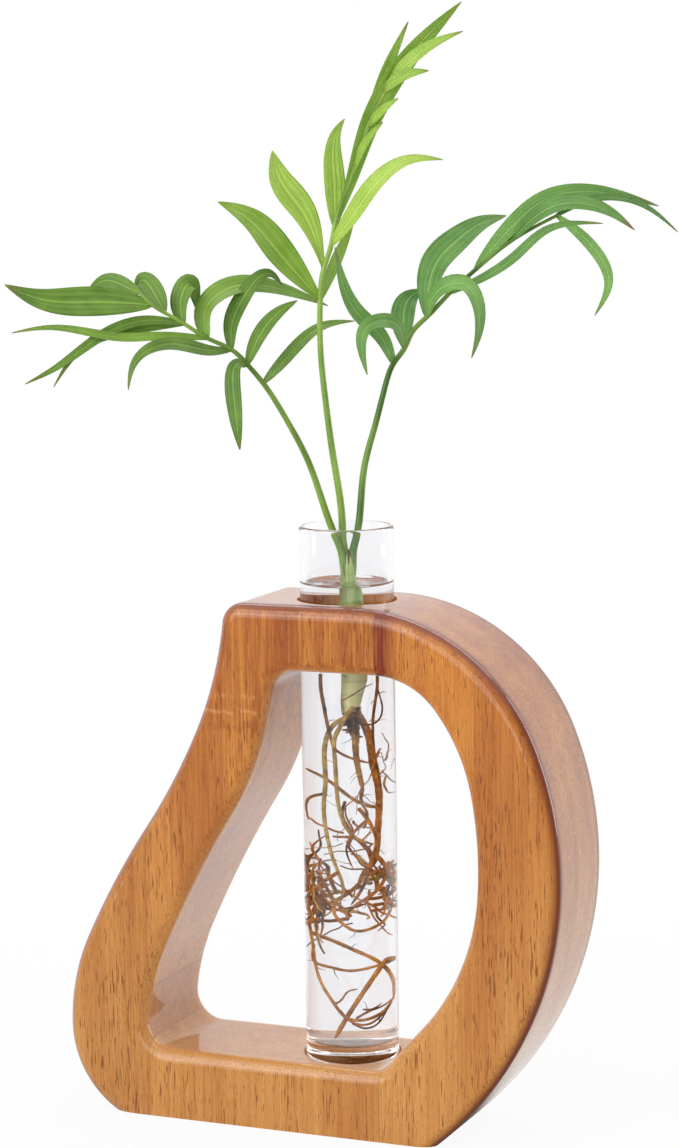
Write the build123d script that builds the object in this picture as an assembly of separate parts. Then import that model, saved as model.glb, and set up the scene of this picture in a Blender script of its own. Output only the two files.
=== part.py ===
from build123d import *
import os
from math import cos, pi, radians, sin

# Propagation vase: a wooden ring glued up from staves, a glass tube that drops
# through its top bar, and a rooted palm cutting standing in the tube's water.
# Millimetres. X runs along the ring, Y through its thickness, Z up.
# The origin is on the base, straight under the middle of the tube.

# Glass tube
tube_diameter = 25.0
tube_wall = 1.5
tube_floor = 6.0
tube_heel_radius = 2.5
tube_floor_radius = 2.0
rim_round_share = 0.47
rim_above_ring = 19.5

# Wooden ring
frame_height = 141.4
frame_left = 76.7
frame_right = 64.7
frame_thickness = 37.0
edge_round = 3.5
top_corner_radius = 6.0
bottom_bar = 18.4
top_bar = 17.5
window_left = 53.6
window_right = 42.0
window_corner_radius = 7.0

# Drilling for the tube: one drill makes the bore and the recess below it
bore_clearance = 0.75
recess_depth = 2.0
drill_overrun = 5.0

# Glue seams between the staves: the wood that each leaves beside the bore or the window
land_left_of_bore = 5.25
land_right_of_bore = 1.75
left_seam_inside_window = 1.6
right_seam_outside_window = 6.5

# Finger joint between the leg and the top left corner
finger_count = 5
finger_length = 9.0
finger_tips_below_top = 23.9

# Water, and the clearance that it keeps round the cutting
water_below_rim = 15.5
water_clearance = 0.3

# Stem and roots
stem_radius = 2.4
stem_head_radius = 2.8
stem_head_below_rim = 5.0
crown_top_below_rim = 48.5
crown_height = 9.0
crown_radius = 3.3
root_wall_gap = 1.4
root_seat_gap = 0.3
root_tip_radius = 0.35

# Fronds
frond_reach = 100.0
petiole_radius = 1.05
rachis_tip_radius = 0.45
blade_thickness = 0.6
blade_base_width = 1.0
blade_tip_width = 0.35
blade_sink = 0.3
blade_swell_power = 0.8

# The cutting faces the viewer, this many degrees from the front of the ring
cutting_turn = 23.0

# Sections of a lofted stalk and of a blade, for each span between its points
stalk_steps = 3
blade_steps = 2

# Outline of the ring, as shares of its reach to each side and of its height
right_run_heading = 0.0
right_run_shares = [(0.12, 1.0), (0.895, 0.761), (0.875, 0.25), (0.465, 0.0)]
left_run_heading = 148.0
left_run_shares = [
    (-0.833, 0.0),
    (-1.0, 0.162),
    (-0.927, 0.339),
    (-0.688, 0.562),
    (-0.488, 0.753),
    (-0.373, 1.0),
]

# Outline of the window, as shares of its reach to each side and of its height
window_right_heading = 0.0
window_right_shares = [
    (0.326, 1.0),
    (0.728, 0.922),
    (0.956, 0.723),
    (0.995, 0.465),
    (0.618, 0.118),
    (0.355, 0.0),
]
window_left_heading = 180.0
window_left_shares = [
    (-0.858, 0.0),
    (-1.0, 0.081),
    (-0.902, 0.259),
    (-0.51, 0.626),
    (-0.312, 0.878),
    (-0.25, 1.0),
]

# Fronds, as shares of frond_reach: across, away from the viewer, above the rim.
# Each stalk's foot stands on the head of the stem, as shares of the head's radius.
left_foot_shares = (-0.6, -0.4)
left_stalk_shares = [
    (-0.042, -0.015, 0.0),
    (-0.10, -0.03, 0.18),
    (-0.15, -0.04, 0.28),
    (-0.21, -0.06, 0.38),
    (-0.25, -0.07, 0.43),
    (-0.29, -0.08, 0.47),
    (-0.35, -0.09, 0.50),
    (-0.41, -0.11, 0.54),
    (-0.46, -0.12, 0.57),
    (-0.49, -0.13, 0.59),
    (-0.52, -0.13, 0.62),
]
middle_foot_shares = (-0.2, 0.5)
middle_stalk_shares = [
    (-0.015, 0.015, 0.0),
    (-0.03, 0.02, 0.17),
    (-0.05, 0.03, 0.33),
    (-0.06, 0.04, 0.44),
    (-0.06, 0.05, 0.59),
    (-0.05, 0.05, 0.67),
    (-0.03, 0.06, 0.73),
    (-0.02, 0.06, 0.78),
    (0.03, 0.07, 0.92),
    (0.07, 0.08, 1.04),
    (0.11, 0.09, 1.13),
    (0.18, 0.10, 1.22),
]
right_foot_shares = (0.62, -0.1)
right_stalk_shares = [
    (0.035, 0.0, 0.0),
    (0.05, 0.02, 0.15),
    (0.08, 0.03, 0.26),
    (0.11, 0.04, 0.37),
    (0.13, 0.05, 0.42),
    (0.16, 0.06, 0.46),
    (0.18, 0.07, 0.50),
    (0.22, 0.08, 0.54),
    (0.28, 0.10, 0.60),
    (0.35, 0.12, 0.66),
    (0.44, 0.14, 0.73),
    (0.57, 0.16, 0.80),
]

# Leaflets: the stalk point each grows from, its width to the viewer as a share of
# frond_reach, its roll out of the view in degrees, and the points after its base.
left_leaflet_shares = [
    (4, 0.033, -35, [(-0.15, 0.01, 0.44), (-0.10, 0.05, 0.49), (-0.05, 0.09, 0.52), (0.03, 0.12, 0.53)]),
    (5, 0.038, -30, [(-0.22, -0.04, 0.50), (-0.17, -0.01, 0.56), (-0.12, 0.03, 0.59)]),
    (5, 0.042, 30, [(-0.28, -0.14, 0.43), (-0.28, -0.18, 0.33), (-0.27, -0.19, 0.22)]),
    (6, 0.046, -25, [(-0.29, -0.04, 0.53), (-0.26, 0.0, 0.60), (-0.19, 0.05, 0.66), (-0.16, 0.07, 0.63)]),
    (6, 0.034, 40, [(-0.35, -0.12, 0.47), (-0.44, -0.16, 0.49), (-0.53, -0.21, 0.45), (-0.55, -0.23, 0.38)]),
    (7, 0.05, -40, [(-0.36, -0.06, 0.56), (-0.31, 0.0, 0.62), (-0.14, 0.10, 0.61), (-0.04, 0.15, 0.57)]),
    (7, 0.022, 35, [(-0.47, -0.14, 0.51), (-0.57, -0.17, 0.51), (-0.74, -0.22, 0.54), (-0.84, -0.25, 0.53)]),
    (8, 0.045, -30, [(-0.425, -0.075, 0.60), (-0.40, -0.04, 0.64), (-0.37, -0.01, 0.62), (-0.37, 0.01, 0.56)]),
    (8, 0.026, 30, [(-0.52, -0.14, 0.55), (-0.61, -0.17, 0.52), (-0.73, -0.22, 0.44), (-0.81, -0.25, 0.40)]),
    (8, 0.02, 25, [(-0.57, -0.14, 0.52), (-0.66, -0.18, 0.49), (-0.74, -0.22, 0.39)]),
    (9, 0.052, 25, [(-0.49, -0.08, 0.62), (-0.52, -0.04, 0.65), (-0.54, -0.01, 0.62)]),
    (10, 0.071, 30, [(-0.64, -0.15, 0.60), (-0.77, -0.18, 0.61), (-0.86, -0.20, 0.65)]),
    (11, 0.04, 30, [(-0.57, -0.09, 0.64), (-0.62, -0.05, 0.65), (-0.66, -0.03, 0.63)]),
]
middle_leaflet_shares = [
    (5, 0.03, 40, [(-0.03, 0.09, 0.67), (0.03, 0.12, 0.79)]),
    (5, 0.076, 35, [(-0.18, 0.01, 0.73), (-0.24, -0.03, 0.80), (-0.32, -0.06, 0.85)]),
    (6, 0.071, 25, [(-0.11, 0.06, 0.83), (-0.16, 0.07, 0.90), (-0.18, 0.08, 0.98)]),
    (7, 0.045, -35, [(0.03, 0.02, 0.81), (0.08, -0.02, 0.88), (0.18, -0.07, 0.95), (0.26, -0.09, 0.95)]),
    (8, 0.055, 20, [(-0.02, 0.09, 0.90), (-0.01, 0.11, 1.03), (0.01, 0.12, 1.06)]),
    (8, 0.055, 30, [(0.03, 0.07, 0.92), (0.07, 0.08, 1.04), (0.18, 0.10, 1.22), (0.32, 0.13, 1.36)]),
    (9, 0.02, -30, [(0.06, 0.06, 0.99), (0.11, 0.03, 1.05)]),
    (10, 0.022, -25, [(0.11, 0.06, 1.08), (0.15, 0.03, 1.11)]),
    (10, 0.03, 25, [(0.11, 0.10, 1.16), (0.18, 0.12, 1.31)]),
    (11, 0.028, -25, [(0.17, 0.06, 1.17), (0.23, 0.04, 1.18)]),
    (11, 0.035, -30, [(0.23, 0.06, 1.24), (0.32, 0.05, 1.28)]),
]
right_leaflet_shares = [
    (5, 0.043, 30, [(0.09, 0.02, 0.50), (0.04, 0.0, 0.55), (-0.02, -0.03, 0.73)]),
    (6, 0.037, 30, [(0.13, 0.0, 0.53), (0.06, -0.05, 0.52), (0.06, -0.07, 0.40)]),
    (6, 0.063, -25, [(0.16, 0.10, 0.54), (0.17, 0.13, 0.58), (0.21, 0.16, 0.61)]),
    (8, 0.043, -30, [(0.26, 0.01, 0.62), (0.31, -0.02, 0.63), (0.35, -0.06, 0.56), (0.33, -0.08, 0.44)]),
    (8, 0.074, -35, [(0.25, 0.13, 0.68), (0.31, 0.17, 0.74), (0.37, 0.20, 0.78), (0.44, 0.23, 0.80)]),
    (9, 0.026, -30, [(0.46, 0.06, 0.70), (0.53, 0.05, 0.76), (0.68, 0.02, 0.78)]),
    (10, 0.043, -35, [(0.47, 0.17, 0.79), (0.54, 0.19, 0.84), (0.68, 0.22, 0.86), (0.85, 0.25, 0.82)]),
    (11, 0.043, -30, [(0.58, 0.15, 0.83), (0.64, 0.13, 0.83), (0.70, 0.12, 0.81), (0.77, 0.10, 0.76)]),
    (12, 0.031, 30, [(0.65, 0.09, 0.73), (0.70, 0.06, 0.63), (0.66, 0.04, 0.54)]),
    (12, 0.02, -30, [(0.66, 0.19, 0.84), (0.79, 0.22, 0.83), (0.90, 0.24, 0.75)]),
]

# Root crown: depth as a share of crown_height, and radius as a share of crown_radius
crown_shares = [(0.0, 0.73), (0.25, 0.95), (0.5, 1.0), (0.8, 0.8), (1.0, 0.35)]

# Roots: radius as a share of root_space_radius, and points as shares of that
# radius across and away from the viewer, and of the drop below the crown's middle.
root_shares = [
    (0.055, [(-0.1, -0.2, -0.02), (-0.29, -0.3, 0.025), (-0.33, -0.38, 0.09), (-0.31, -0.42, 0.155),
             (-0.27, -0.42, 0.235), (-0.12, -0.4, 0.31), (0.13, -0.3, 0.353), (0.5, -0.15, 0.377)]),
    (0.055, [(-0.15, 0.1, -0.01), (-0.45, 0.15, 0.044), (-0.49, 0.2, 0.105), (-0.47, 0.2, 0.178),
             (-0.52, 0.15, 0.251), (-0.47, 0.05, 0.356), (-0.37, -0.05, 0.422), (-0.25, -0.15, 0.471),
             (-0.17, -0.27, 0.518), (-0.23, -0.4, 0.542), (-0.46, -0.5, 0.55)]),
    (0.1, [(0.15, 0.1, 0.0), (0.4, 0.15, 0.057), (0.47, 0.2, 0.13), (0.56, 0.2, 0.193), (0.59, 0.15, 0.259),
           (0.57, 0.05, 0.35), (0.51, 0.0, 0.421), (0.29, 0.1, 0.47), (0.13, 0.2, 0.519)]),
    (0.075, [(0.05, -0.05, 0.0), (0.13, -0.15, 0.052), (0.155, -0.1, 0.105), (0.26, -0.1, 0.193),
             (0.25, -0.2, 0.236), (0.38, -0.3, 0.276), (0.3, -0.35, 0.324)]),
    (0.04, [(0.58, 0.15, 0.265), (0.31, 0.4, 0.262), (0.0, 0.5, 0.235), (-0.32, 0.45, 0.19),
            (-0.64, 0.3, 0.158), (-0.9, 0.1, 0.141)]),
    (0.04, [(-0.5, 0.17, 0.22), (-0.75, 0.3, 0.235), (-0.9, 0.1, 0.27), (-0.92, -0.15, 0.3)]),
    (0.045, [(0.15, 0.2, 0.512), (-0.2, 0.45, 0.56), (-0.6, 0.5, 0.6), (-0.85, 0.2, 0.64), (-0.89, -0.1, 0.681),
             (-0.85, -0.3, 0.762), (-0.69, -0.45, 0.828), (-0.43, -0.55, 0.88), (-0.12, -0.6, 0.925),
             (0.25, -0.6, 0.932), (0.62, -0.45, 0.92), (0.83, -0.1, 0.892)]),
    (0.045, [(-0.87, 0.05, 0.665), (-0.32, 0.3, 0.697), (0.1, 0.35, 0.73), (0.48, 0.3, 0.762),
             (0.74, 0.25, 0.803), (0.86, 0.1, 0.84), (0.88, 0.0, 0.875)]),
    (0.045, [(0.48, 0.3, 0.762), (0.44, 0.08, 0.79), (0.25, -0.1, 0.836), (-0.1, -0.25, 0.91), (-0.42, -0.35, 1.0)]),
    (0.045, [(-0.27, -0.13, 0.466), (-0.7, -0.3, 0.5), (-0.92, 0.0, 0.54), (-0.75, 0.4, 0.575),
             (-0.3, 0.6, 0.6), (0.3, 0.6, 0.58)]),
    (0.045, [(0.52, 0.0, 0.415), (0.8, -0.2, 0.46), (0.6, -0.6, 0.52), (0.1, -0.75, 0.56), (-0.1, -0.85, 0.58)]),
    (0.045, [(0.28, 0.1, 0.472), (0.52, 0.42, 0.492), (0.76, 0.38, 0.496), (0.9, 0.1, 0.47), (0.9, -0.15, 0.44)]),
]

# Sizes that follow from the ones above
tube_radius = tube_diameter / 2
tube_bore_radius = tube_radius - tube_wall
bore_radius = tube_radius + bore_clearance
tube_base_z = bottom_bar - recess_depth
rim_z = frame_height + rim_above_ring
tube_height = rim_z - tube_base_z
water_floor_z = tube_base_z + tube_floor
water_top_z = rim_z - water_below_rim
stem_top_z = rim_z - stem_head_below_rim
crown_top_z = rim_z - crown_top_below_rim
root_space_radius = tube_bore_radius - root_wall_gap
root_start_z = crown_top_z - crown_height / 2
root_drop = root_start_z - water_floor_z - root_seat_gap - root_tip_radius
window_top_z = frame_height - top_bar
window_height = window_top_z - bottom_bar
finger_tips_z = frame_height - finger_tips_below_top
seams = [
    left_seam_inside_window - window_left,
    -bore_radius - land_left_of_bore,
    bore_radius + land_right_of_bore,
    window_right + right_seam_outside_window,
]


def shared_point(shares, left_reach, right_reach, low, height):
    """a point of an outline, from its share of the reach to its own side and of the height"""
    across, up = shares
    reach = left_reach if across < 0 else right_reach
    return Vector(across * reach, low + up * height)


def smooth_run(stops, heading):
    """arcs from stop to stop, each leaving in the direction in which the last one arrived"""
    tangent = Vector(1, 0).rotate(Axis.Z, heading)
    run = []
    for here, there in zip(stops, stops[1:]):
        arc = TangentArc(here, there, tangent=tangent)
        run.append(arc)
        tangent = arc % 1
    return run


def outline(left_shares, left_heading, right_shares, right_heading, left_reach, right_reach, low, height):
    """a closed outline: an arced run up the left, one down the right, and level lines between"""
    left_stops = [shared_point(s, left_reach, right_reach, low, height) for s in left_shares]
    right_stops = [shared_point(s, left_reach, right_reach, low, height) for s in right_shares]
    edges = smooth_run(left_stops, left_heading)
    edges.append(Line(left_stops[-1], right_stops[0]))
    edges += smooth_run(right_stops, right_heading)
    edges.append(Line(right_stops[-1], left_stops[0]))
    return make_face(edges), left_stops, right_stops


def cross_edge(solid, corner):
    """the edge through the ring's thickness that passes a corner of the outline"""
    place = Vector(corner.X, 0, corner.Y)
    return solid.edges().filter_by(Axis.Y).sort_by_distance(place)[0]


def ring_blank():
    """the whole ring before it is cut into staves: outline, window, rounded edges, bore and recess"""
    outer, outer_left, _ = outline(
        left_run_shares, left_run_heading, right_run_shares, right_run_heading,
        frame_left, frame_right, 0, frame_height,
    )
    window, window_left_stops, window_right_stops = outline(
        window_left_shares, window_left_heading, window_right_shares, window_right_heading,
        window_left, window_right, bottom_bar, window_height,
    )
    block = extrude(Plane.XZ * outer, frame_thickness / 2, both=True)
    block = fillet(cross_edge(block, outer_left[-1]), top_corner_radius)
    opening = extrude(Plane.XZ * window, frame_thickness / 2, both=True)
    opening = fillet(cross_edge(opening, window_left_stops[-1]), window_corner_radius)
    opening = fillet(cross_edge(opening, window_right_stops[-1]), window_corner_radius)
    ring = block - opening
    faces = ring.faces().sort_by(Axis.Y)
    rims = faces[0].edges() + faces[-1].edges()
    ring = fillet([edge for edge in rims if edge.center().Z > edge_round], edge_round)
    bore = Pos(0, 0, window_top_z + top_bar / 2) * Cylinder(bore_radius, top_bar + drill_overrun)
    recess = Pos(0, 0, tube_base_z) * Cylinder(
        bore_radius, recess_depth + drill_overrun, align=(Align.CENTER, Align.CENTER, Align.MIN)
    )
    return ring - bore - recess


def stave(ring, left_x, right_x):
    """the part of the ring between two glue seams"""
    slab = Pos((left_x + right_x) / 2, 0, frame_height / 2) * Box(
        right_x - left_x, frame_thickness * 2, frame_height * 2
    )
    return ring & slab


def split_by_height(pieces):
    """the lower and the upper piece of a stave that the window cuts in two"""
    solids = pieces.solids().sort_by(Axis.Z)
    return solids[0], solids[-1]


def finger_zone():
    """the space above the zigzag of the finger joint, which runs through the thickness"""
    pitch = frame_thickness / finger_count
    low_z = finger_tips_z - finger_length
    points = [(-frame_thickness / 2, low_z)]
    for number in range(finger_count):
        start = -frame_thickness / 2 + number * pitch
        points.append((start + pitch / 2, finger_tips_z))
        points.append((start + pitch, low_z))
    points.append((frame_thickness / 2, frame_height * 2))
    points.append((-frame_thickness / 2, frame_height * 2))
    profile = make_face(Polyline(*points, close=True))
    return extrude(Plane.YZ * profile, frame_left * 2, both=True)


def glass_tube():
    """a flat-bottomed tube with a thick floor, a rounded heel and a fire-rounded rim"""
    on_floor = (Align.CENTER, Align.CENTER, Align.MIN)
    body = Cylinder(tube_radius, tube_height, align=on_floor)
    body = fillet(body.edges().sort_by(Axis.Z)[0], tube_heel_radius)
    hollow = Pos(0, 0, tube_floor) * Cylinder(tube_bore_radius, tube_height, align=on_floor)
    hollow = fillet(hollow.edges().sort_by(Axis.Z)[0], tube_floor_radius)
    tube = body - hollow
    tube = fillet(tube.edges().group_by(Axis.Z)[-1], rim_round_share * tube_wall)
    return Pos(0, 0, tube_base_z) * tube


def water():
    """the water that fills the tube round the stem, the crown and the main roots"""
    on_floor = (Align.CENTER, Align.CENTER, Align.MIN)
    filled = Cylinder(tube_bore_radius, water_top_z - water_floor_z, align=on_floor)
    filled = Pos(0, 0, water_floor_z) * fillet(filled.edges().sort_by(Axis.Z)[0], tube_floor_radius)
    return filled.cut(stem(water_clearance), root_crown(water_clearance), *root_strands(water_clearance))


def turned(across, away, height):
    """a point of the cutting, which faces the viewer and not the ring's own front"""
    return Vector(across, away, 0).rotate(Axis.Z, cutting_turn) + Vector(0, 0, height)


def frond_point(across_share, away_share, above_rim_share):
    """a point of a frond, from shares of the reach that all the fronds have in common"""
    return turned(across_share * frond_reach, away_share * frond_reach, rim_z + above_rim_share * frond_reach)


def stalk(points, start_radius, end_radius, end_directions=None):
    """a round stalk through the points, thinning steadily from its first end to its last"""
    spine = Spline(*points, tangents=end_directions)
    steps = (len(points) - 1) * stalk_steps
    side = (spine % 0).cross(Vector(0, 1, 0))
    sections = []
    for step in range(steps + 1):
        along = step / steps
        tangent = spine % along
        side = (side - tangent * side.dot(tangent)).normalized()
        radius = start_radius + (end_radius - start_radius) * along
        sections.append(Plane(origin=spine @ along, x_dir=side, z_dir=tangent) * Circle(radius))
    return loft(sections, ruled=True)


def leaflet(base, points, seen_width, roll):
    """a thin blade along a curved line, widest before its middle and pointed at its tip"""
    spine = Spline(base, *points)
    viewer = Vector(0, -1, 0).rotate(Axis.Z, cutting_turn)
    width = seen_width / cos(radians(roll))
    steps = len(points) * blade_steps + 1
    sections = []
    for step in range(steps + 1):
        along = step / steps
        tangent = spine % along
        side = tangent.cross(viewer).normalized()
        section = Plane(origin=spine @ along, x_dir=side, z_dir=tangent).rotated((0, 0, roll))
        least = blade_base_width + (blade_tip_width - blade_base_width) * along
        half = (least + (width - least) * sin(pi * along ** blade_swell_power)) / 2
        thick = blade_thickness / 2
        lens = make_face(Polyline((half, 0), (0, thick), (-half, 0), (0, -thick), close=True))
        sections.append(section * lens)
    return loft(sections, ruled=True)


def frond(foot_shares, stalk_shares, leaflet_shares):
    """a petiole with the leaflets that grow from its upper part"""
    foot = turned(foot_shares[0] * stem_head_radius, foot_shares[1] * stem_head_radius, stem_top_z)
    points = [foot] + [frond_point(*place) for place in stalk_shares]
    end_directions = [Vector(0, 0, 1), points[-1] - points[-2]]
    solid = stalk(points, petiole_radius, rachis_tip_radius, end_directions)
    blades = []
    for number, width_share, roll, place_shares in leaflet_shares:
        places = [frond_point(*place) for place in place_shares]
        base = points[number] + (points[number] - places[0]).normalized() * blade_sink
        blades.append(leaflet(base, places, width_share * frond_reach, roll))
    return solid.fuse(*blades)


def stem(margin=0):
    """the pale stem from the root crown up to the head from which the fronds part"""
    low = Plane.XY.offset(crown_top_z) * Circle(stem_radius + margin)
    high = Plane.XY.offset(stem_top_z) * Circle(stem_head_radius + margin)
    return loft([low, high])


def root_point(across, away, drop):
    """a point of a root, from its shares of the space that the roots fill"""
    return turned(across * root_space_radius, away * root_space_radius, root_start_z - drop * root_drop)


def root_crown(margin=0):
    """the swollen knob under the stem, from which the roots grow"""
    sections = []
    for depth_share, radius_share in crown_shares:
        level = Plane.XY.offset(crown_top_z - depth_share * crown_height)
        sections.append(level * Circle(radius_share * crown_radius + margin))
    return loft(sections, ruled=True)


def root_strands(margin=0):
    """the main roots, which wind down from the middle of the crown to the floor of the tube"""
    strands = []
    for radius_share, place_shares in root_shares:
        points = [root_point(*place) for place in place_shares]
        start_radius = radius_share * root_space_radius + margin
        strands.append(stalk(points, start_radius, root_tip_radius + margin))
    return strands


def roots():
    """the crown and its main roots, grown together"""
    return root_crown().fuse(*root_strands())


def build():
    """every node of the vase, by name"""
    ring = ring_blank()
    ends = [-frame_left * 2] + seams + [frame_right * 2]
    far_left, left, middle, right, far_right = (
        stave(ring, low, high) for low, high in zip(ends, ends[1:])
    )
    bar_left, leg = split_by_height(left)
    bar_middle, top = split_by_height(middle)
    zone = finger_zone()
    return {
        "far_left_stave": far_left,
        "bar_left_stave": bar_left,
        "leg_stave": leg - zone,
        "corner_stave": leg & zone,
        "bar_middle_stave": bar_middle,
        "top_bar_stave": top,
        "right_stave": right,
        "far_right_stave": far_right,
        "glass_tube": glass_tube(),
        "water": water(),
        "stem": stem(),
        "roots": roots(),
        "left_frond": frond(left_foot_shares, left_stalk_shares, left_leaflet_shares),
        "middle_frond": frond(middle_foot_shares, middle_stalk_shares, middle_leaflet_shares),
        "right_frond": frond(right_foot_shares, right_stalk_shares, right_leaflet_shares),
    }


os.makedirs("parts", exist_ok=True)
for name, piece in build().items():
    solids = piece.solids()
    print(name, len(solids), "solids", round(sum(solid.volume for solid in solids), 1), "mm3")
    export_step(Compound(solids) if len(solids) > 1 else solids[0], f"parts/{name}.step")
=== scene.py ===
import math
import random

import bpy
import numpy as np
from mathutils import Matrix, Vector


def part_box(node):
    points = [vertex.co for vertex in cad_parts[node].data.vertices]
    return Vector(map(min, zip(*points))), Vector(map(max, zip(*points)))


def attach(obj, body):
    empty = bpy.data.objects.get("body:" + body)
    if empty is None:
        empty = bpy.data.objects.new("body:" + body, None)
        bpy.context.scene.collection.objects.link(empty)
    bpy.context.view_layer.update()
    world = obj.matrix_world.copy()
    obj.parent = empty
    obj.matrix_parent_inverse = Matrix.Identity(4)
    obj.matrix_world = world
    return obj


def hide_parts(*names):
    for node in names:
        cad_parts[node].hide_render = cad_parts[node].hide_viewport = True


# The propagation vase: finishes for the wooden ring, and modelled pieces for the
# glass tube, its water and the rooted palm cutting. Metres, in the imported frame.

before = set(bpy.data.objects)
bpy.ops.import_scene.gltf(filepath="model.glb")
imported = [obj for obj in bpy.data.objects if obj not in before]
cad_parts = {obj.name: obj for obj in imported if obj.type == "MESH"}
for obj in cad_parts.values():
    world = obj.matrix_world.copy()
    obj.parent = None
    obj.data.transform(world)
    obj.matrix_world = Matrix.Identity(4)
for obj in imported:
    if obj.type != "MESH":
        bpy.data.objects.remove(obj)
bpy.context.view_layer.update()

MM = 0.001
rng = random.Random(7)

# Camera of the photograph: place in metres, turns in degrees, focal length in pixels
CAMERA_PLACE = Vector((0.30997, -0.73586, 0.25404))
CAMERA_TURN = 22.98
CAMERA_PITCH = 7.57
CAMERA_ROLL = -0.775
FOCAL_PIXELS = 3051.3
PHOTO_HEIGHT = 1148
SENSOR = 36.0

# Sizes read from the frame
tube_low, tube_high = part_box("glass_tube")
water_low, water_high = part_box("water")
stem_low, stem_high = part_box("stem")
TUBE_RADIUS = (tube_high.x - tube_low.x) / 2
BORE_RADIUS = (water_high.x - water_low.x) / 2
STEM_HEAD_RADIUS = (stem_high.x - stem_low.x) / 2
TUBE_BASE_Z = tube_low.z
RIM_Z = tube_high.z
FLOOR_Z = water_low.z
WATER_Z = water_high.z
CROWN_Z = stem_low.z
RING_MIDDLE_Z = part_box("top_bar_stave")[1].z / 2
LEFT_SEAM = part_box("far_left_stave")[1].x
RIGHT_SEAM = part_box("top_bar_stave")[1].x

# Shader helpers

# Light that has turned this often inside the glass and water goes straight on
CAUGHT_DEPTH = 8.5

# The share of a lamp's light that passes each clear surface
LAMP_SHARE = (0.96, 0.97, 0.97, 1)


def linear(red, green, blue):
    """a colour given as 0-255 values, as the linear values that shaders use"""
    out = []
    for value in (red, green, blue):
        c = value / 255
        out.append(c / 12.92 if c <= 0.04045 else ((c + 0.055) / 1.055) ** 2.4)
    return (*out, 1.0)


class Shader:
    """a material and the short calls that build its nodes"""

    def __init__(self, name):
        self.material = bpy.data.materials.new(name)
        self.material.use_nodes = True
        self.tree = self.material.node_tree
        self.surface = self.tree.nodes["Principled BSDF"]
        self.output = self.tree.nodes["Material Output"]

    def set(self, **values):
        for name, value in values.items():
            self.put(self.surface, name.replace("_", " "), value)

    def put(self, node, name, value):
        socket = node.inputs[name]
        if isinstance(value, bpy.types.NodeSocket):
            self.tree.links.new(value, socket)
        else:
            socket.default_value = value

    def node(self, kind, inputs, out=0, **settings):
        """an output of a new node"""
        node = self.tree.nodes.new(kind)
        for name, value in settings.items():
            setattr(node, name, value)
        for name, value in inputs.items():
            self.put(node, name, value)
        return node.outputs[out]

    def coord(self, kind):
        return self.node("ShaderNodeTexCoord", {}, out=kind)

    def attribute(self, name):
        return self.node("ShaderNodeAttribute", {}, out="Fac", attribute_name=name)

    def rays(self):
        return self.tree.nodes.new("ShaderNodeLightPath").outputs

    def split(self, vector):
        return self.node("ShaderNodeSeparateXYZ", {0: vector}).node.outputs

    def noise(self, scale, detail=2.0, rough=0.5, distort=0.0, along=1, shift=(0, 0, 0)):
        """noise over the object's own points; a small share along Z draws it out into grain"""
        inputs = {"Vector": self.coord("Object"), "Scale": (1, 1, along), "Location": shift}
        inputs = {"Vector": self.node("ShaderNodeMapping", inputs), "Scale": scale, "Detail": detail}
        inputs.update({"Roughness": rough, "Distortion": distort})
        return self.node("ShaderNodeTexNoise", inputs)

    def math(self, operation, a, b=0.0, c=0.0, clamp=False):
        return self.node("ShaderNodeMath", {0: a, 1: b, 2: c}, operation=operation, use_clamp=clamp)

    def times(self, product, *values):
        for value in values:
            product = self.math("MULTIPLY", product, value)
        return product

    def distance(self, value, level):
        return self.math("ABSOLUTE", self.math("SUBTRACT", value, level))

    def steps(self, value, low, high, start=0.0, end=1.0):
        """value mapped smoothly from low..high to start..end"""
        inputs = {"Value": value, "From Min": low, "From Max": high, "To Min": start, "To Max": end}
        return self.node("ShaderNodeMapRange", inputs, interpolation_type="SMOOTHSTEP")

    def fades(self, value, low, high, start=1.0):
        """start where value is under low, and nothing above high"""
        return self.steps(value, low, high, start, 0.0)

    def mix(self, share, *colours, blend="MIX"):
        """two colours mixed, each the output of a node or given as 0-255 values"""
        first, second = [linear(*c) if isinstance(c, tuple) else c for c in colours]
        inputs = {0: share, 6: first, 7: second}
        return self.node("ShaderNodeMix", inputs, out=2, data_type="RGBA", blend_type=blend)

    def bump(self, height, distance, strength):
        inputs = {"Height": height, "Distance": distance, "Strength": strength}
        return self.node("ShaderNodeBump", inputs, out="Normal")

    def mix_surface(self, share, other):
        """the material's surface, mixed by share with another shader"""
        mixed = self.tree.nodes.new("ShaderNodeMixShader")
        for socket, source in zip(mixed.inputs, (share, self.surface.outputs[0], other)):
            self.tree.links.new(source, socket)
        self.tree.links.new(mixed.outputs[0], self.output.inputs["Surface"])


# Materials

# Wood: its colours near the floor and at the top, and those of its edges and marks
PALE_LOW = (218, 160, 86)
PALE_HIGH = (220, 142, 56)
DEEP_LOW = (192, 122, 52)
DEEP_HIGH = (158, 72, 14)
# Edges on the ring's outside: darker stain that the edges soak up, with painted shade over it
OUTER_EDGE_STAIN_AND_SHADE = (126, 44, 6)
# Edges on the ring's inside, round the window: a painted highlight
INNER_EDGE_PAINTED_HIGHLIGHT = (226, 164, 96)
RED_STRIP = (122, 24, 0)
SEAM = (112, 60, 28)
PORE = (120, 56, 16)
SPECK = (250, 224, 200)

# How much of each of them covers the wood where it is fullest
OUTER_EDGE_STAIN_AND_SHADE_SHARE = 0.94
INNER_EDGE_PAINTED_HIGHLIGHT_SHARE = 0.5
SEAM_SHARE = 0.2
FINE_PORE_SHARE = 0.3
PORE_SHARE = 0.72
SPECK_SHARE = 0.55

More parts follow.
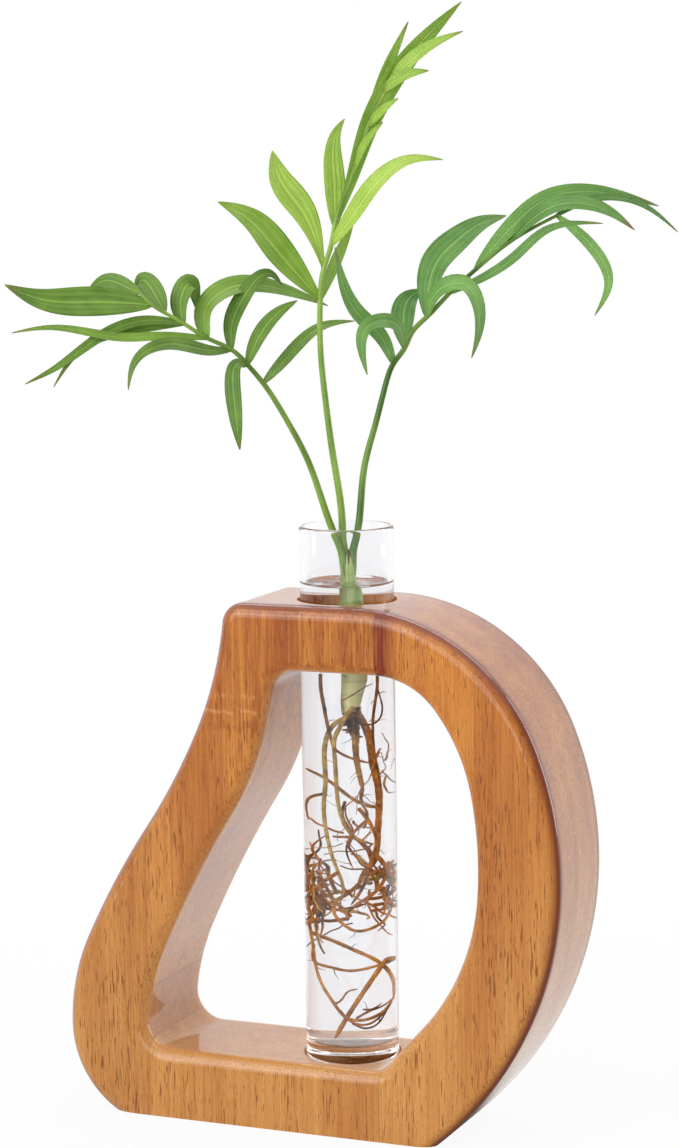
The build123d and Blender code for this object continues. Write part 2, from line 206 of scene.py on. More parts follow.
# Noises of the wood: scale, detail, roughness, distortion, and the factor on Z that draws them out
GRAIN = {
    "bands": (130, 3, 0.55, 0.4, 0.05),
    "streaks": (1300, 3, 0.7, 0, 0.03),
    "fibres": (1700, 3, 0.6, 0, 0.02),
    "patches": (28, 2, 0.5, 0, 0.35),
    "pores": (3000, 1, 0.4, 0, 0.07),
    "fine_pores": (5600, 1, 0.4, 0, 0.13),
    "crowding": (150, 1, 0.5, 0, 0.14),
    "specks": (1900, 1, 0.4, 0, 0.8),
    "uneven": (420, 2, 0.5, 0, 0.3),
    "broken": (420, 2, 0.5, 0, 1),
    "waver": (260, 2, 0.5, 0, 1),
}

# Level that the pore noise has to pass, where pores are few and where they crowd
PORE_LEVELS = (0.67, 0.59)

# The wood's tone, mapped from these two levels to these two shares of the deep colour
TONE_STEPS = (0.26, 0.5, 0.12, 0.82)

# Where each part of the finish begins and where it is full, in metres
RISE = (0.015, 0.135)
EDGE = (0.0125, 0.016)
FRONT = (-0.013, -0.0115)
STRIP_LEFT = (0.0150, 0.0162)
STRIP_RIGHT = (0.0175, 0.0235)
STRIP_LOW = (0.108, 0.125)
STRIP_WAVER = 0.002
SEAM_EDGE = (0.00005, 0.0003)
DUST_ACROSS = (0.045, 0.055)
DUST_OUTWARD = (0.02, 0.04)
EDGE_BLEND = 0.006
JOINT_WAVER = 0.0016

# Marks of the finger joint: height, half width, share and colour
JOINT_LINES = [
    (0.1178, 0.0008, 0.22, (232, 176, 116)),
    (0.1134, 0.0008, 0.28, (236, 186, 130)),
    (0.1102, 0.0026, 0.4, (140, 70, 22)),
    (0.1156, 0.0014, 0.3, (150, 78, 26)),
]


def wood(name, tint, shift, streaked, seams, red_strip, joint):
    """varnished hardwood with upright grain: bands, streaks, short pores, edges on the ring's outside
    darker by stain and by painted shade, and a painted highlight on its inside edges
    """
    s = Shader(name)

    def grain(kind):
        return s.noise(*GRAIN[kind], shift)

    def by_height(low, high):
        return s.mix(rise, tuple(tint * c for c in low), tuple(tint * c for c in high))

    x, y, z = s.split(s.coord("Object"))
    rise = s.steps(z, *RISE)
    pale = by_height(PALE_LOW, PALE_HIGH)
    deep = by_height(DEEP_LOW, DEEP_HIGH)
    bands, streaks, fibres = grain("bands"), grain("streaks"), grain("fibres")
    tone = s.math("MULTIPLY_ADD", grain("patches"), 0.35, s.times(bands, 0.4))
    tone = s.math("MULTIPLY_ADD", s.math("SUBTRACT", streaks, 0.5), streaked, tone)
    colour = s.mix(s.steps(tone, *TONE_STEPS), pale, deep)
    colour = s.mix(s.steps(fibres, 0.35, 0.75, 0.0, 0.35), colour, deep, blend="MULTIPLY")

    normal_x, facing, normal_z = s.split(s.coord("Normal"))
    rising = s.times(s.math("SUBTRACT", z, RING_MIDDLE_Z), normal_z)
    outward = s.math("MULTIPLY_ADD", x, normal_x, rising)
    depth = s.math("ABSOLUTE", y)
    edge = s.times(s.fades(s.math("ABSOLUTE", facing), 0.45, 0.99), s.steps(depth, *EDGE))
    # Painted shade, over darker stain, on the outside edges; a painted highlight on the inside edges
    outer_stain_and_shade = s.times(edge, s.steps(outward, 0.0, EDGE_BLEND), OUTER_EDGE_STAIN_AND_SHADE_SHARE)
    inner_painted_highlight = s.times(edge, s.fades(outward, -EDGE_BLEND, 0.0), INNER_EDGE_PAINTED_HIGHLIGHT_SHARE)
    colour = s.mix(outer_stain_and_shade, colour, OUTER_EDGE_STAIN_AND_SHADE)
    colour = s.mix(inner_painted_highlight, colour, INNER_EDGE_PAINTED_HIGHLIGHT)

    if red_strip:
        across = s.math("MULTIPLY_ADD", bands, STRIP_WAVER, x)
        strip = s.times(s.steps(across, *STRIP_LEFT), s.fades(across, *STRIP_RIGHT), s.steps(z, *STRIP_LOW))
        strip = s.times(strip, s.fades(y, *FRONT), s.steps(streaks, 0.3, 0.6, 0.6, 1.0))
        colour = s.mix(strip, colour, RED_STRIP)
    if joint:
        seen = s.times(s.steps(grain("broken"), 0.4, 0.6), s.fades(y, *FRONT))
        up = s.math("MULTIPLY_ADD", grain("waver"), JOINT_WAVER, z)
        for level, half, share, shade in JOINT_LINES:
            line = s.fades(s.distance(up, level), half * 0.2, half, share)
            colour = s.mix(s.times(line, seen), colour, shade)
    for seam in seams:
        colour = s.mix(s.fades(s.distance(x, seam), *SEAM_EDGE, SEAM_SHARE), colour, SEAM)

    level = s.steps(grain("crowding"), 0.35, 0.7, *PORE_LEVELS)
    pores = s.steps(s.math("SUBTRACT", grain("pores"), level), 0.0, 0.06)
    fine_pores = s.steps(grain("fine_pores"), 0.58, 0.7)
    colour = s.mix(s.times(fine_pores, FINE_PORE_SHARE), colour, PORE)
    colour = s.mix(s.times(pores, PORE_SHARE), colour, PORE)
    dusty = s.times(s.steps(x, *DUST_ACROSS), s.fades(depth, *EDGE), s.steps(outward, *DUST_OUTWARD))
    specks = s.times(dusty, s.steps(grain("specks"), 0.66, 0.74, 0.0, SPECK_SHARE))
    colour = s.mix(specks, colour, SPECK)

    height = s.math("MULTIPLY_ADD", pores, -1.0, s.times(fibres, 0.35))
    varnish = s.math("MULTIPLY_ADD", pores, -0.5, grain("uneven"))
    s.set(
        Base_Color=colour,
        Roughness=s.steps(fibres, 0.2, 0.8, 0.42, 0.56),
        Specular_IOR_Level=0.3,
        Normal=s.bump(height, 0.12 * MM, 0.4),
        Coat_Weight=1.0,
        Coat_Roughness=0.08,
        Coat_IOR=1.55,
        Coat_Normal=s.bump(varnish, 0.05 * MM, 0.3),
    )
    return s.material


GLASS_TINT = (0.975, 0.972, 0.985, 1)
GLASS_IOR = 1.5
WATER_TINT = (0.995, 0.998, 1.0, 1)
WATER_IOR = 1.333


def clear(name, tint, bends):
    """a clear surface; lamps reach what is inside it, and light caught in its wall gets out again"""
    s = Shader(name)
    s.set(Base_Color=tint, Roughness=0.0, IOR=bends, Transmission_Weight=1.0)
    rays = s.rays()
    caught = s.math("GREATER_THAN", rays["Ray Depth"], CAUGHT_DEPTH)
    straight = s.math("MAXIMUM", rays["Is Shadow Ray"], caught)
    s.mix_surface(straight, s.node("ShaderNodeBsdfTransparent", {"Color": LAMP_SHARE}))
    return s.material


# Waves of the leaf's veins and ribs, in radians from its midrib to its edge
VEIN_WAVES = 44.0
RIB_WAVES = 15.0
DRY_TIP = (150, 112, 66)


def leaf(name, deep, light):
    """a satin leaf with long veins, a pale midrib and, on some, a dry tip"""
    s = Shader(name)
    across = s.attribute("across")
    patches = s.noise(140)
    veins = s.math("SINE", s.times(across, VEIN_WAVES))
    ribs = s.math("SINE", s.times(across, RIB_WAVES))
    stripe = s.math("MULTIPLY_ADD", veins, 0.07, s.times(ribs, 0.08))
    stripe = s.math("ADD", stripe, s.math("MULTIPLY_ADD", s.attribute("tone"), 0.5, -0.25))
    share = s.math("ADD", s.math("MULTIPLY_ADD", patches, 0.7, -0.1), stripe)
    colour = s.mix(s.math("ADD", share, 0.25, clamp=True), deep, light)
    midrib = s.fades(s.math("ABSOLUTE", across), 0.02, 0.09, 0.3)
    colour = s.mix(midrib, colour, tuple(min(255, 1.25 * c + 18) for c in light))
    dry = s.times(s.steps(s.attribute("along"), 0.86, 0.99), s.attribute("dry"))
    colour = s.mix(dry, colour, DRY_TIP)
    height = s.math("ADD", s.times(veins, 0.35), s.times(ribs, 0.6))
    s.set(
        Base_Color=colour,
        Roughness=s.steps(patches, 0.2, 0.8, 0.34, 0.5),
        Normal=s.bump(height, 0.12 * MM, 0.6),
        Subsurface_Weight=0.12,
        Subsurface_Radius=(0.6, 1.0, 0.2),
        Subsurface_Scale=0.8 * MM,
    )
    return s.material


def stalk_skin(name, deep, light, pale):
    """green petiole skin with fine long ridges, paler towards its foot"""
    s = Shader(name)
    ridges = s.noise(1800, along=0.03)
    patches = s.noise(120, along=0.4)
    colour = s.mix(s.steps(patches, 0.3, 0.7), deep, light)
    colour = s.mix(s.fades(s.attribute("along"), 0.0, 0.12, 0.7), colour, pale)
    s.set(Base_Color=colour, Roughness=0.36, Normal=s.bump(ridges, 0.1 * MM, 0.4))
    return s.material


STEM_DEEP = (128, 160, 74)
STEM_LIGHT = (188, 208, 136)
STEM_FOOT_PALE_AND_PAINTED_LIGHT = (246, 242, 170)
STEM_RING = (92, 112, 48)
SHEATH = (112, 70, 38)
RING_PITCH = 3.5 * MM


def stem_skin():
    """pale green stem with leaf-scar rings and brown torn sheath on one side; paler at its foot, partly its
    own colour and partly painted light under the ring's top bar
    """
    s = Shader("stem_skin")
    height = s.split(s.coord("Object"))[2]
    streaks = s.noise(700, 3.0, along=0.12)
    patches = s.noise(190, along=0.5)
    scar = s.attribute("scar")
    rings = s.math("SINE", s.times(height, 2 * math.pi / RING_PITCH))
    colour = s.mix(s.steps(streaks, 0.3, 0.7), STEM_DEEP, STEM_LIGHT)
    # Paler at the foot: partly the stem's own colour, partly painted light where the top bar shades it
    colour = s.mix(s.fades(height, CROWN_Z + 3 * MM, CROWN_Z + 26 * MM, 0.9), colour, STEM_FOOT_PALE_AND_PAINTED_LIGHT)
    colour = s.mix(s.steps(rings, 0.75, 1.0, 0.0, 0.2), colour, STEM_RING)
    brown = s.times(s.steps(patches, 0.4, 0.6, 0.2, 1.0), s.steps(scar, 0.55, 0.95))
    brown = s.math("MAXIMUM", brown, s.steps(scar, 1.2, 1.8))
    colour = s.mix(brown, colour, SHEATH)
    ridges = s.math("ADD", streaks, s.times(rings, 0.3))
    s.set(
        Base_Color=colour,
        Roughness=0.42,
        Normal=s.bump(ridges, 0.15 * MM, 0.5),
        Subsurface_Weight=0.1,
        Subsurface_Radius=(1.0, 1.0, 0.4),
        Subsurface_Scale=1.0 * MM,
    )
    return s.material


ROOT_GOLD = (214, 126, 36)
ROOT_OLIVE = (202, 168, 84)
ROOT_OLD = (62, 26, 6)
ROOT_BARK = (80, 36, 8)
ROOT_PAINTED_HIGHLIGHT = (240, 204, 128)


def root_skin():
    """wet roots: golden brown or olive where they are young, near black where they are old, with small
    painted highlights on the young ones
    """
    s = Shader("root_skin")
    bark = s.noise(900, 4.0, 0.6)
    young = s.mix(s.attribute("olive"), ROOT_GOLD, ROOT_OLIVE)
    patches = s.math("SUBTRACT", s.noise(260), 0.5)
    share = s.math("MULTIPLY_ADD", patches, 2.0, s.attribute("tone"), clamp=True)
    colour = s.mix(share, ROOT_OLD, young)
    colour = s.mix(s.steps(bark, 0.54, 0.68, 0.0, 0.6), colour, ROOT_BARK)
    # Painted highlights: pale spots that stand in for glints on the wet young roots
    painted_highlights = s.times(s.steps(s.noise(1500), 0.56, 0.66, 0.0, 0.45), share)
    colour = s.mix(painted_highlights, colour, ROOT_PAINTED_HIGHLIGHT)
    s.set(Base_Color=colour, Roughness=0.3, Specular_IOR_Level=0.3, Normal=s.bump(bark, 0.2 * MM, 0.5))
    return s.material


# Mesh helpers

LATHE_SIDES = 128

# How far the closed ends of a tube stand out, as shares of its radius there
FOOT_BULGE = 0.6
TIP_BULGE = 0.8


def linked(name, data):
    """a new object in the scene"""
    thing = bpy.data.objects.new(name, data)
    bpy.context.scene.collection.objects.link(thing)
    return thing


class Skin:
    """the vertices, faces and per-vertex values of one mesh under construction"""

    def __init__(self):
        self.verts = []
        self.faces = []
        self.slots = []
        self.values = {"along": [], "across": [], "tone": [], "dry": [], "scar": [], "olive": []}

    def add(self, points, faces, slot=0, **values):
        first = len(self.verts)
        self.verts += [tuple(p) for p in points]
        for name, store in self.values.items():
            given = values.get(name, 0.0)
            store += list(given) if hasattr(given, "__len__") else [given] * len(points)
        self.faces += [tuple(first + k for k in face) for face in faces]
        self.slots += [slot] * len(faces)

    def piece(self, name, materials, body, node):
        """the finished mesh as a piece that rides on a body and replaces a node"""
        mesh = bpy.data.meshes.new(name)
        mesh.from_pydata(self.verts, [], self.faces)
        for value_name, store in self.values.items():
            layer = mesh.attributes.new(value_name, "FLOAT", "POINT")
            layer.data.foreach_set("value", store)
        for material in materials:
            mesh.materials.append(material)
        mesh.polygons.foreach_set("material_index", self.slots)
        mesh.polygons.foreach_set("use_smooth", [True] * len(self.faces))
        mesh.update()
        piece = linked(name, mesh)
        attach(piece, body)
        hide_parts(node)


def smooth_line(points, count):
    """count + 1 points on a natural cubic spline through the points"""
    places = np.array([tuple(p) for p in points], float)
    gaps = np.linalg.norm(np.diff(places, axis=0), axis=1)
    knots = np.concatenate([[0.0], np.cumsum(gaps)])
    slopes = np.diff(places, axis=0) / gaps[:, None]
    last = len(places) - 1
    system = np.eye(last + 1)
    right = np.zeros((last + 1, 3))
    right[1:-1] = 6 * np.diff(slopes, axis=0)
    for k in range(1, last):
        system[k, k - 1 : k + 2] = gaps[k - 1], 2 * (gaps[k - 1] + gaps[k]), gaps[k]
    bend = np.linalg.solve(system, right)
    line = []
    for step in range(count + 1):
        t = knots[-1] * step / count
        k = min(int(np.searchsorted(knots, t, side="right")) - 1, last - 1)
        h = gaps[k]
        a = (knots[k + 1] - t) / h
        b = (t - knots[k]) / h
        spot = a * places[k] + b * places[k + 1]
        spot = spot + ((a**3 - a) * bend[k] + (b**3 - b) * bend[k + 1]) * h * h / 6
        line.append(Vector(spot))
    return line


def directions(line):
    """the unit direction of a line at each of its points"""
    last = len(line) - 1
    return [(line[min(k + 1, last)] - line[max(k - 1, 0)]).normalized() for k in range(last + 1)]


def around(sides):
    """the cosine and sine of each side's angle"""
    angles = [2 * math.pi * k / sides for k in range(sides)]
    return [(math.cos(a), math.sin(a)) for a in angles]


def wall(rows, sides):
    """the faces between rows of points that go once round"""
    faces = []
    for low in range(0, (rows - 1) * sides, sides):
        for k in range(sides):
            n = (k + 1) % sides
            faces.append((low + k, low + n, low + sides + n, low + sides + k))
    return faces


def tube(skin, line, radii, sides, **values):
    """a round closed tube along a line"""
    ways = directions(line)
    side = ways[0].orthogonal().normalized()
    points = []
    for spot, way, radius in zip(line, ways, radii):
        side = (side - way * side.dot(way)).normalized()
        other = way.cross(side)
        points += [spot + (side * cos + other * sin) * radius for cos, sin in around(sides)]
    count = len(line)
    points.append(line[0] - ways[0] * radii[0] * FOOT_BULGE)
    points.append(line[-1] + ways[-1] * radii[-1] * TIP_BULGE)
    foot, tip = count * sides, count * sides + 1
    faces = wall(count, sides)
    for k in range(sides):
        n = (k + 1) % sides
        faces.append((foot, n, k))
        faces.append((tip, (count - 1) * sides + k, (count - 1) * sides + n))
    along = [row / (count - 1) for row in range(count) for _ in range(sides)]
    skin.add(points, faces, along=along + [0.0, 1.0], **values)


def lathe(profile):
    """a closed body turned about Z from a profile whose two ends are single points on the axis"""
    points, faces, rows = [], [], []
    for radius, height in profile:
        ring = around(LATHE_SIDES) if radius else [(1, 0)]
        rows.append([len(points) + k for k in range(len(ring))])
        points += [Vector((radius * cos, radius * sin, height)) for cos, sin in ring]
    for low, high in zip(rows, rows[1:]):
        for k in range(LATHE_SIDES):
            n = (k + 1) % LATHE_SIDES
            quad = (low[k % len(low)], low[n % len(low)], high[n % len(high)], high[k % len(high)])
            faces.append(tuple(dict.fromkeys(quad)))
    skin = Skin()
    skin.add(points, faces)
    return skin


def arc(centre_r, centre_z, radius, start, end, count):
    """points of a profile on an arc, with its angles in degrees"""
    angles = [math.radians(start + (end - start) * k / count) for k in range(count + 1)]
    return [(centre_r + radius * math.cos(a), centre_z + radius * math.sin(a)) for a in angles]


def from_table(table, place):
    """a value in metres, read at a place of a table whose values are millimetres"""
    return float(np.interp(place, *zip(*table))) * MM


# Wooden ring

LEFT_GRAIN = (0.02, 0.05, 0.10)
RIGHT_GRAIN = (0.13, 0.87, 0.64)

# Each stave's tint, place in the grain, how streaked it is, and the seams that show on it
staves = {
    "far_left_stave": (0.975, (0.31, 0.12, 0.40), 0.2, [LEFT_SEAM]),
    "bar_left_stave": (1.0, LEFT_GRAIN, 0.2, [LEFT_SEAM]),
    "leg_stave": (1.0, LEFT_GRAIN, 0.28, [LEFT_SEAM]),
    "corner_stave": (0.985, LEFT_GRAIN, 0.36, []),
    "bar_middle_stave": (1.0, LEFT_GRAIN, 0.2, [RIGHT_SEAM]),
    "top_bar_stave": (0.985, LEFT_GRAIN, 0.5, [RIGHT_SEAM]),
    "right_stave": (1.01, RIGHT_GRAIN, 0.16, [RIGHT_SEAM]),
    "far_right_stave": (1.01, RIGHT_GRAIN, 0.16, []),
}
for node_name, look in staves.items():
    red_strip = node_name == "right_stave"
    joint = node_name in ("leg_stave", "corner_stave")
    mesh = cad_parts[node_name].data
    mesh.materials.clear()
    mesh.materials.append(wood(node_name + "_wood", *look, red_strip, joint))

# Glass and water

HEEL = 2.5 * MM
FLOOR_ROUND = 0.9 * MM
FLOOR_DISH = 0.1 * MM
FLOOR_MIDDLE = 0.15 * MM
FLAT_SHARE = 0.4
RIM_FLARE = 0.1 * MM
FLARE_HEIGHT = 5.0 * MM
FLARE_Z = RIM_Z - FLARE_HEIGHT
WALL_ROWS = 12
FLARE_ROWS = 8

# The water climbs the wall and, less, the stem; its sharp edge has a narrow row of its own
MENISCUS = 1.0 * MM
STEM_MENISCUS = 0.8 * MM
MENISCUS_REACH = 1.0 * MM
WATER_LEVEL_Z = WATER_Z - 0.1 * MM
WATER_EDGE = 0.04 * MM
WATER_ROWS = 16
SURFACE_ROWS = 26
SURFACE_CROWDING = 1.35

# How far the water reaches into the glass, so that no air shows between them
OVERLAP = 0.06 * MM


def flare(radius, height):
    """the slight outward lip of the fire-polished rim"""
    share = max(0.0, (height - FLARE_Z) / FLARE_HEIGHT)
    return radius + RIM_FLARE * share * share


def glass_tube():
    """the tube's profile, up its outside, over the rim and down its inside"""
    rim_round = (TUBE_RADIUS - BORE_RADIUS) / 2
    heel_z = TUBE_BASE_Z + HEEL
    bore_z = FLOOR_Z + FLOOR_ROUND
    profile = [(0.0, TUBE_BASE_Z), (TUBE_RADIUS * FLAT_SHARE, TUBE_BASE_Z)]
    profile += arc(TUBE_RADIUS - HEEL, heel_z, HEEL, -90, 0, 10)
    profile += [(TUBE_RADIUS, heel_z + (FLARE_Z - heel_z) * k / WALL_ROWS) for k in range(1, WALL_ROWS)]
    top = RIM_Z - rim_round
    lip = [FLARE_Z + (top - FLARE_Z) * k / FLARE_ROWS for k in range(FLARE_ROWS + 1)]
    profile += [(flare(TUBE_RADIUS, z), z) for z in lip]
    profile += arc(flare(TUBE_RADIUS, top) - rim_round, top, rim_round, 15, 180, 12)
    profile += [(flare(BORE_RADIUS, z), z) for z in lip[-2::-1]]
    for k in range(WALL_ROWS - 1, 0, -1):
        profile.append((BORE_RADIUS, bore_z + (FLARE_Z - bore_z) * k / WALL_ROWS))
    profile += arc(BORE_RADIUS - FLOOR_ROUND, bore_z, FLOOR_ROUND, 0, -90, 8)
    profile += [(BORE_RADIUS * FLAT_SHARE, FLOOR_Z + FLOOR_DISH), (0.0, FLOOR_Z + FLOOR_MIDDLE)]
    lathe(profile).piece("tube_glass", [clear("clear_glass", GLASS_TINT, GLASS_IOR)], "tube", "glass_tube")


def water_body():
    """the water's profile, up its side and in over its surface"""
    radius = BORE_RADIUS + OVERLAP
    base = FLOOR_Z - OVERLAP
    side_z = base + FLOOR_ROUND
    edge_z = WATER_LEVEL_Z + MENISCUS
    profile = [(0.0, base), (radius * FLAT_SHARE, base)]
    profile += arc(radius - FLOOR_ROUND, side_z, FLOOR_ROUND, -90, 0, 8)
    for k in range(1, WATER_ROWS + 1):
        profile.append((radius, side_z + (edge_z - WATER_EDGE - side_z) * k / WATER_ROWS))
    profile += [(radius, edge_z), (radius - WATER_EDGE, edge_z)]
    for k in range(1, SURFACE_ROWS + 1):
        r = radius * (1 - k / SURFACE_ROWS) ** SURFACE_CROWDING
        at_wall = MENISCUS * math.exp(-max(0.0, BORE_RADIUS - r) / MENISCUS_REACH)
        at_stem = STEM_MENISCUS * math.exp(-max(0.0, r - STEM_HEAD_RADIUS) / MENISCUS_REACH)
        profile.append((r, WATER_LEVEL_Z + at_wall + at_stem))
    lathe(profile).piece("tube_water", [clear("clear_water", WATER_TINT, WATER_IOR)], "tube", "water")


glass_tube()
water_body()

# Cutting

CUTTING_TURN = Matrix.Rotation(math.radians(23.0), 3, "Z")
VIEWER = CUTTING_TURN @ Vector((0, -1, 0))


def turned(across, away, height):
    """a point of the cutting, which faces the viewer and not the ring's own front"""
    return CUTTING_TURN @ Vector((across, away, 0)) + Vector((0, 0, height))


def stem_point(across, away, height):
    """a point near the stem, from millimetres"""
    return turned(across * MM, away * MM, height * MM)


def frond_point(across, away, above_rim):
    """a point of a frond, from millimetres"""
    return turned(across * MM, away * MM, RIM_Z + above_rim * MM)


# Stalks: points across, away from the viewer and above the rim, all in millimetres
LEFT_STALK = [
    (-4, -1.2, 0), (-10, -3, 18), (-15, -4, 28), (-21, -6, 38), (-25, -7, 43), (-29, -8, 47), (-35, -9, 50),
    (-41, -11, 54), (-46, -12, 57), (-49, -13, 59), (-52, -13, 62),
]
MIDDLE_STALK = [
    (-1, 1.4, 0), (-3, 2, 17), (-5, 3, 33), (-6, 4, 44), (-6, 5, 59), (-5, 5, 67), (-3, 6, 73), (-2, 6, 78),
    (3, 7, 92), (7, 8, 104), (11, 9, 113), (18, 10, 122),
]
RIGHT_STALK = [
    (3.3, 0, 0), (5, 2, 15), (8, 3, 26), (11, 4, 37), (13, 5, 42), (16, 6, 46), (18, 7, 50), (22, 8, 54),
    (28, 10, 60), (35, 12, 66), (44, 14, 73), (57, 16, 80),
]

# Where each petiole runs down the stem: across, away and height, all in millimetres
LEFT_FOOT = [(0.1, -0.5, 143), (-0.3, -0.7, 147), (-0.7, -0.8, 150), (-1.35, -0.8, 154), (-2.66, -1, 157.5)]
MIDDLE_FOOT = [(0.9, 0.3, 143), (0.3, 0.4, 147), (0.1, 0.6, 150), (-0.55, 0.7, 154), (-0.95, 1, 157.5)]
RIGHT_FOOT = [(1.8, -0.2, 143), (1.2, -0.3, 147), (1.5, -0.3, 150), (1.72, -0.2, 154), (2.6, -0.1, 157.5)]

# Leaflets: stalk point, width to the viewer in millimetres, roll in degrees, where along it is widest,
# dryness, and the points after its base, as on the stalks
LEFT_LEAFLETS = [
    (4, 3.3, -35, 0.42, 0.3, [(-15, 1, 44), (-10, 5, 49), (-5, 9, 52), (3, 12, 53)]),
    (5, 3.8, -30, 0.42, 0.2, [(-22, -4, 50), (-17, -1, 56), (-12, 3, 59)]),
    (5, 4.2, 30, 0.5, 0.3, [(-28, -14, 43), (-28, -18, 33), (-27, -19, 22)]),
    (6, 4.6, -25, 0.42, 0.2, [(-29, -4, 53), (-26, 0, 60), (-19, 5, 66), (-16, 7, 63)]),
    (6, 3.4, 40, 0.45, 0.4, [(-35, -12, 47), (-44, -16, 49), (-53, -21, 45), (-55, -23, 38)]),
    (7, 5, -40, 0.28, 0.5, [(-36, -6, 56), (-31, 0, 62), (-14, 10, 61), (-4, 15, 57)]),
    (7, 2.2, 35, 0.4, 0.5, [(-47, -14, 51), (-57, -17, 51), (-74, -22, 54), (-84, -25, 53)]),
    (8, 5, -30, 0.42, 0.2, [(-42, -7, 60), (-40, -3, 64), (-38, 1, 56)]),
    (8, 2.6, 30, 0.4, 0.5, [(-52, -14, 55), (-61, -17, 52), (-73, -22, 44), (-81, -25, 40)]),
    (8, 2, 25, 0.4, 0.5, [(-57, -14, 52), (-66, -18, 49), (-74, -22, 39)]),
    (9, 5.2, 25, 0.45, 0.2, [(-49, -8, 62), (-52, -4, 65), (-54, -1, 62)]),
    (10, 7.1, 30, 0.42, 0.6, [(-64, -15, 60), (-77, -18, 61), (-86, -20, 65)]),
    (11, 4, 30, 0.45, 0.2, [(-57, -9, 64), (-62, -5, 65), (-66, -3, 63)]),
]
MIDDLE_LEAFLETS = [
    (5, 3, 40, 0.5, 0.0, [(-3, 9, 67), (3, 12, 79)]),
    (5, 7.6, 35, 0.5, 0.1, [(-18, 1, 73), (-24, -3, 80), (-32, -6, 85)]),
    (6, 7.1, 25, 0.6, 0.1, [(-11, 6, 83), (-16, 7, 90), (-18, 8, 98)]),
    (7, 4.5, -35, 0.42, 0.1, [(3, 2, 81), (8, -2, 88), (18, -7, 95), (26, -9, 95)]),
    (8, 5.5, 20, 0.42, 0.1, [(-2, 9, 90), (-1, 11, 103), (1, 12, 106)]),
    (8, 5.5, 30, 0.55, 0.1, [(3, 7, 92), (7, 8, 104), (18, 10, 122), (32, 13, 136)]),
    (9, 2, -30, 0.4, 0.5, [(6, 6, 99), (11, 3, 105)]),
    (10, 2.2, -25, 0.4, 0.5, [(11, 6, 108), (15, 3, 111)]),
    (10, 3, 25, 0.4, 0.5, [(11, 10, 116), (18, 12, 131)]),
    (11, 2.8, -25, 0.4, 0.5, [(17, 6, 117), (23, 4, 118)]),
    (11, 3.5, -30, 0.4, 0.5, [(23, 6, 124), (32, 5, 128)]),
]
RIGHT_LEAFLETS = [
    (5, 4.3, 30, 0.4, 0.3, [(9, 2, 50), (4, 0, 55), (-2, -3, 73)]),
    (6, 3.7, 30, 0.45, 0.3, [(13, 0, 53), (6, -5, 52), (6, -7, 40)]),
    (6, 6.3, -25, 0.5, 0.2, [(16, 10, 54), (17, 13, 58), (21, 16, 61)]),
    (8, 4.3, -30, 0.45, 0.4, [(26, 1, 62), (31, -2, 63), (35, -6, 56), (33, -8, 44)]),
    (8, 7.4, -35, 0.45, 0.2, [(25, 13, 68), (31, 17, 74), (37, 20, 78), (44, 23, 80)]),
    (9, 2.6, -30, 0.45, 0.4, [(46, 6, 70), (53, 5, 76), (68, 2, 78)]),
    (10, 4.3, -35, 0.4, 0.4, [(47, 17, 79), (54, 19, 84), (68, 22, 86), (85, 25, 82)]),
    (11, 4.3, -30, 0.45, 1.0, [(58, 15, 83), (64, 13, 83), (70, 12, 81), (77, 10, 76)]),
    (12, 3.1, 30, 0.45, 0.4, [(65, 9, 73), (70, 6, 63), (66, 4, 54)]),
    (12, 2, -30, 0.4, 0.5, [(66, 19, 84), (79, 22, 83), (90, 24, 75)]),
]

STALK_ROWS = 110
STALK_SIDES = 14
PETIOLE_RADIUS = 1.05 * MM
RACHIS_TIP_RADIUS = 0.45 * MM
FOOT_RADIUS = 1.3 * MM
FOOT_SHARE = 0.13

BLADE_ROWS = 30
BLADE_HALF_COLUMNS = 5
BLADE_THICKNESS = 0.28 * MM
BLADE_FOOT_WIDTH = 1.0 * MM
BLADE_TIP_WIDTH = 0.25 * MM
BLADE_FULLNESS = 0.9
PLEAT_DEPTH = 0.035
PLEAT_WAVES = 12.0
THINNER_EDGE = 0.6
BLADE_END = 0.97

# Ranges of each leaflet's fold, as a slope, and of its curl from base to tip, in radians
FOLD = (0.16, 0.3)
CURL = (-0.25, 0.25)


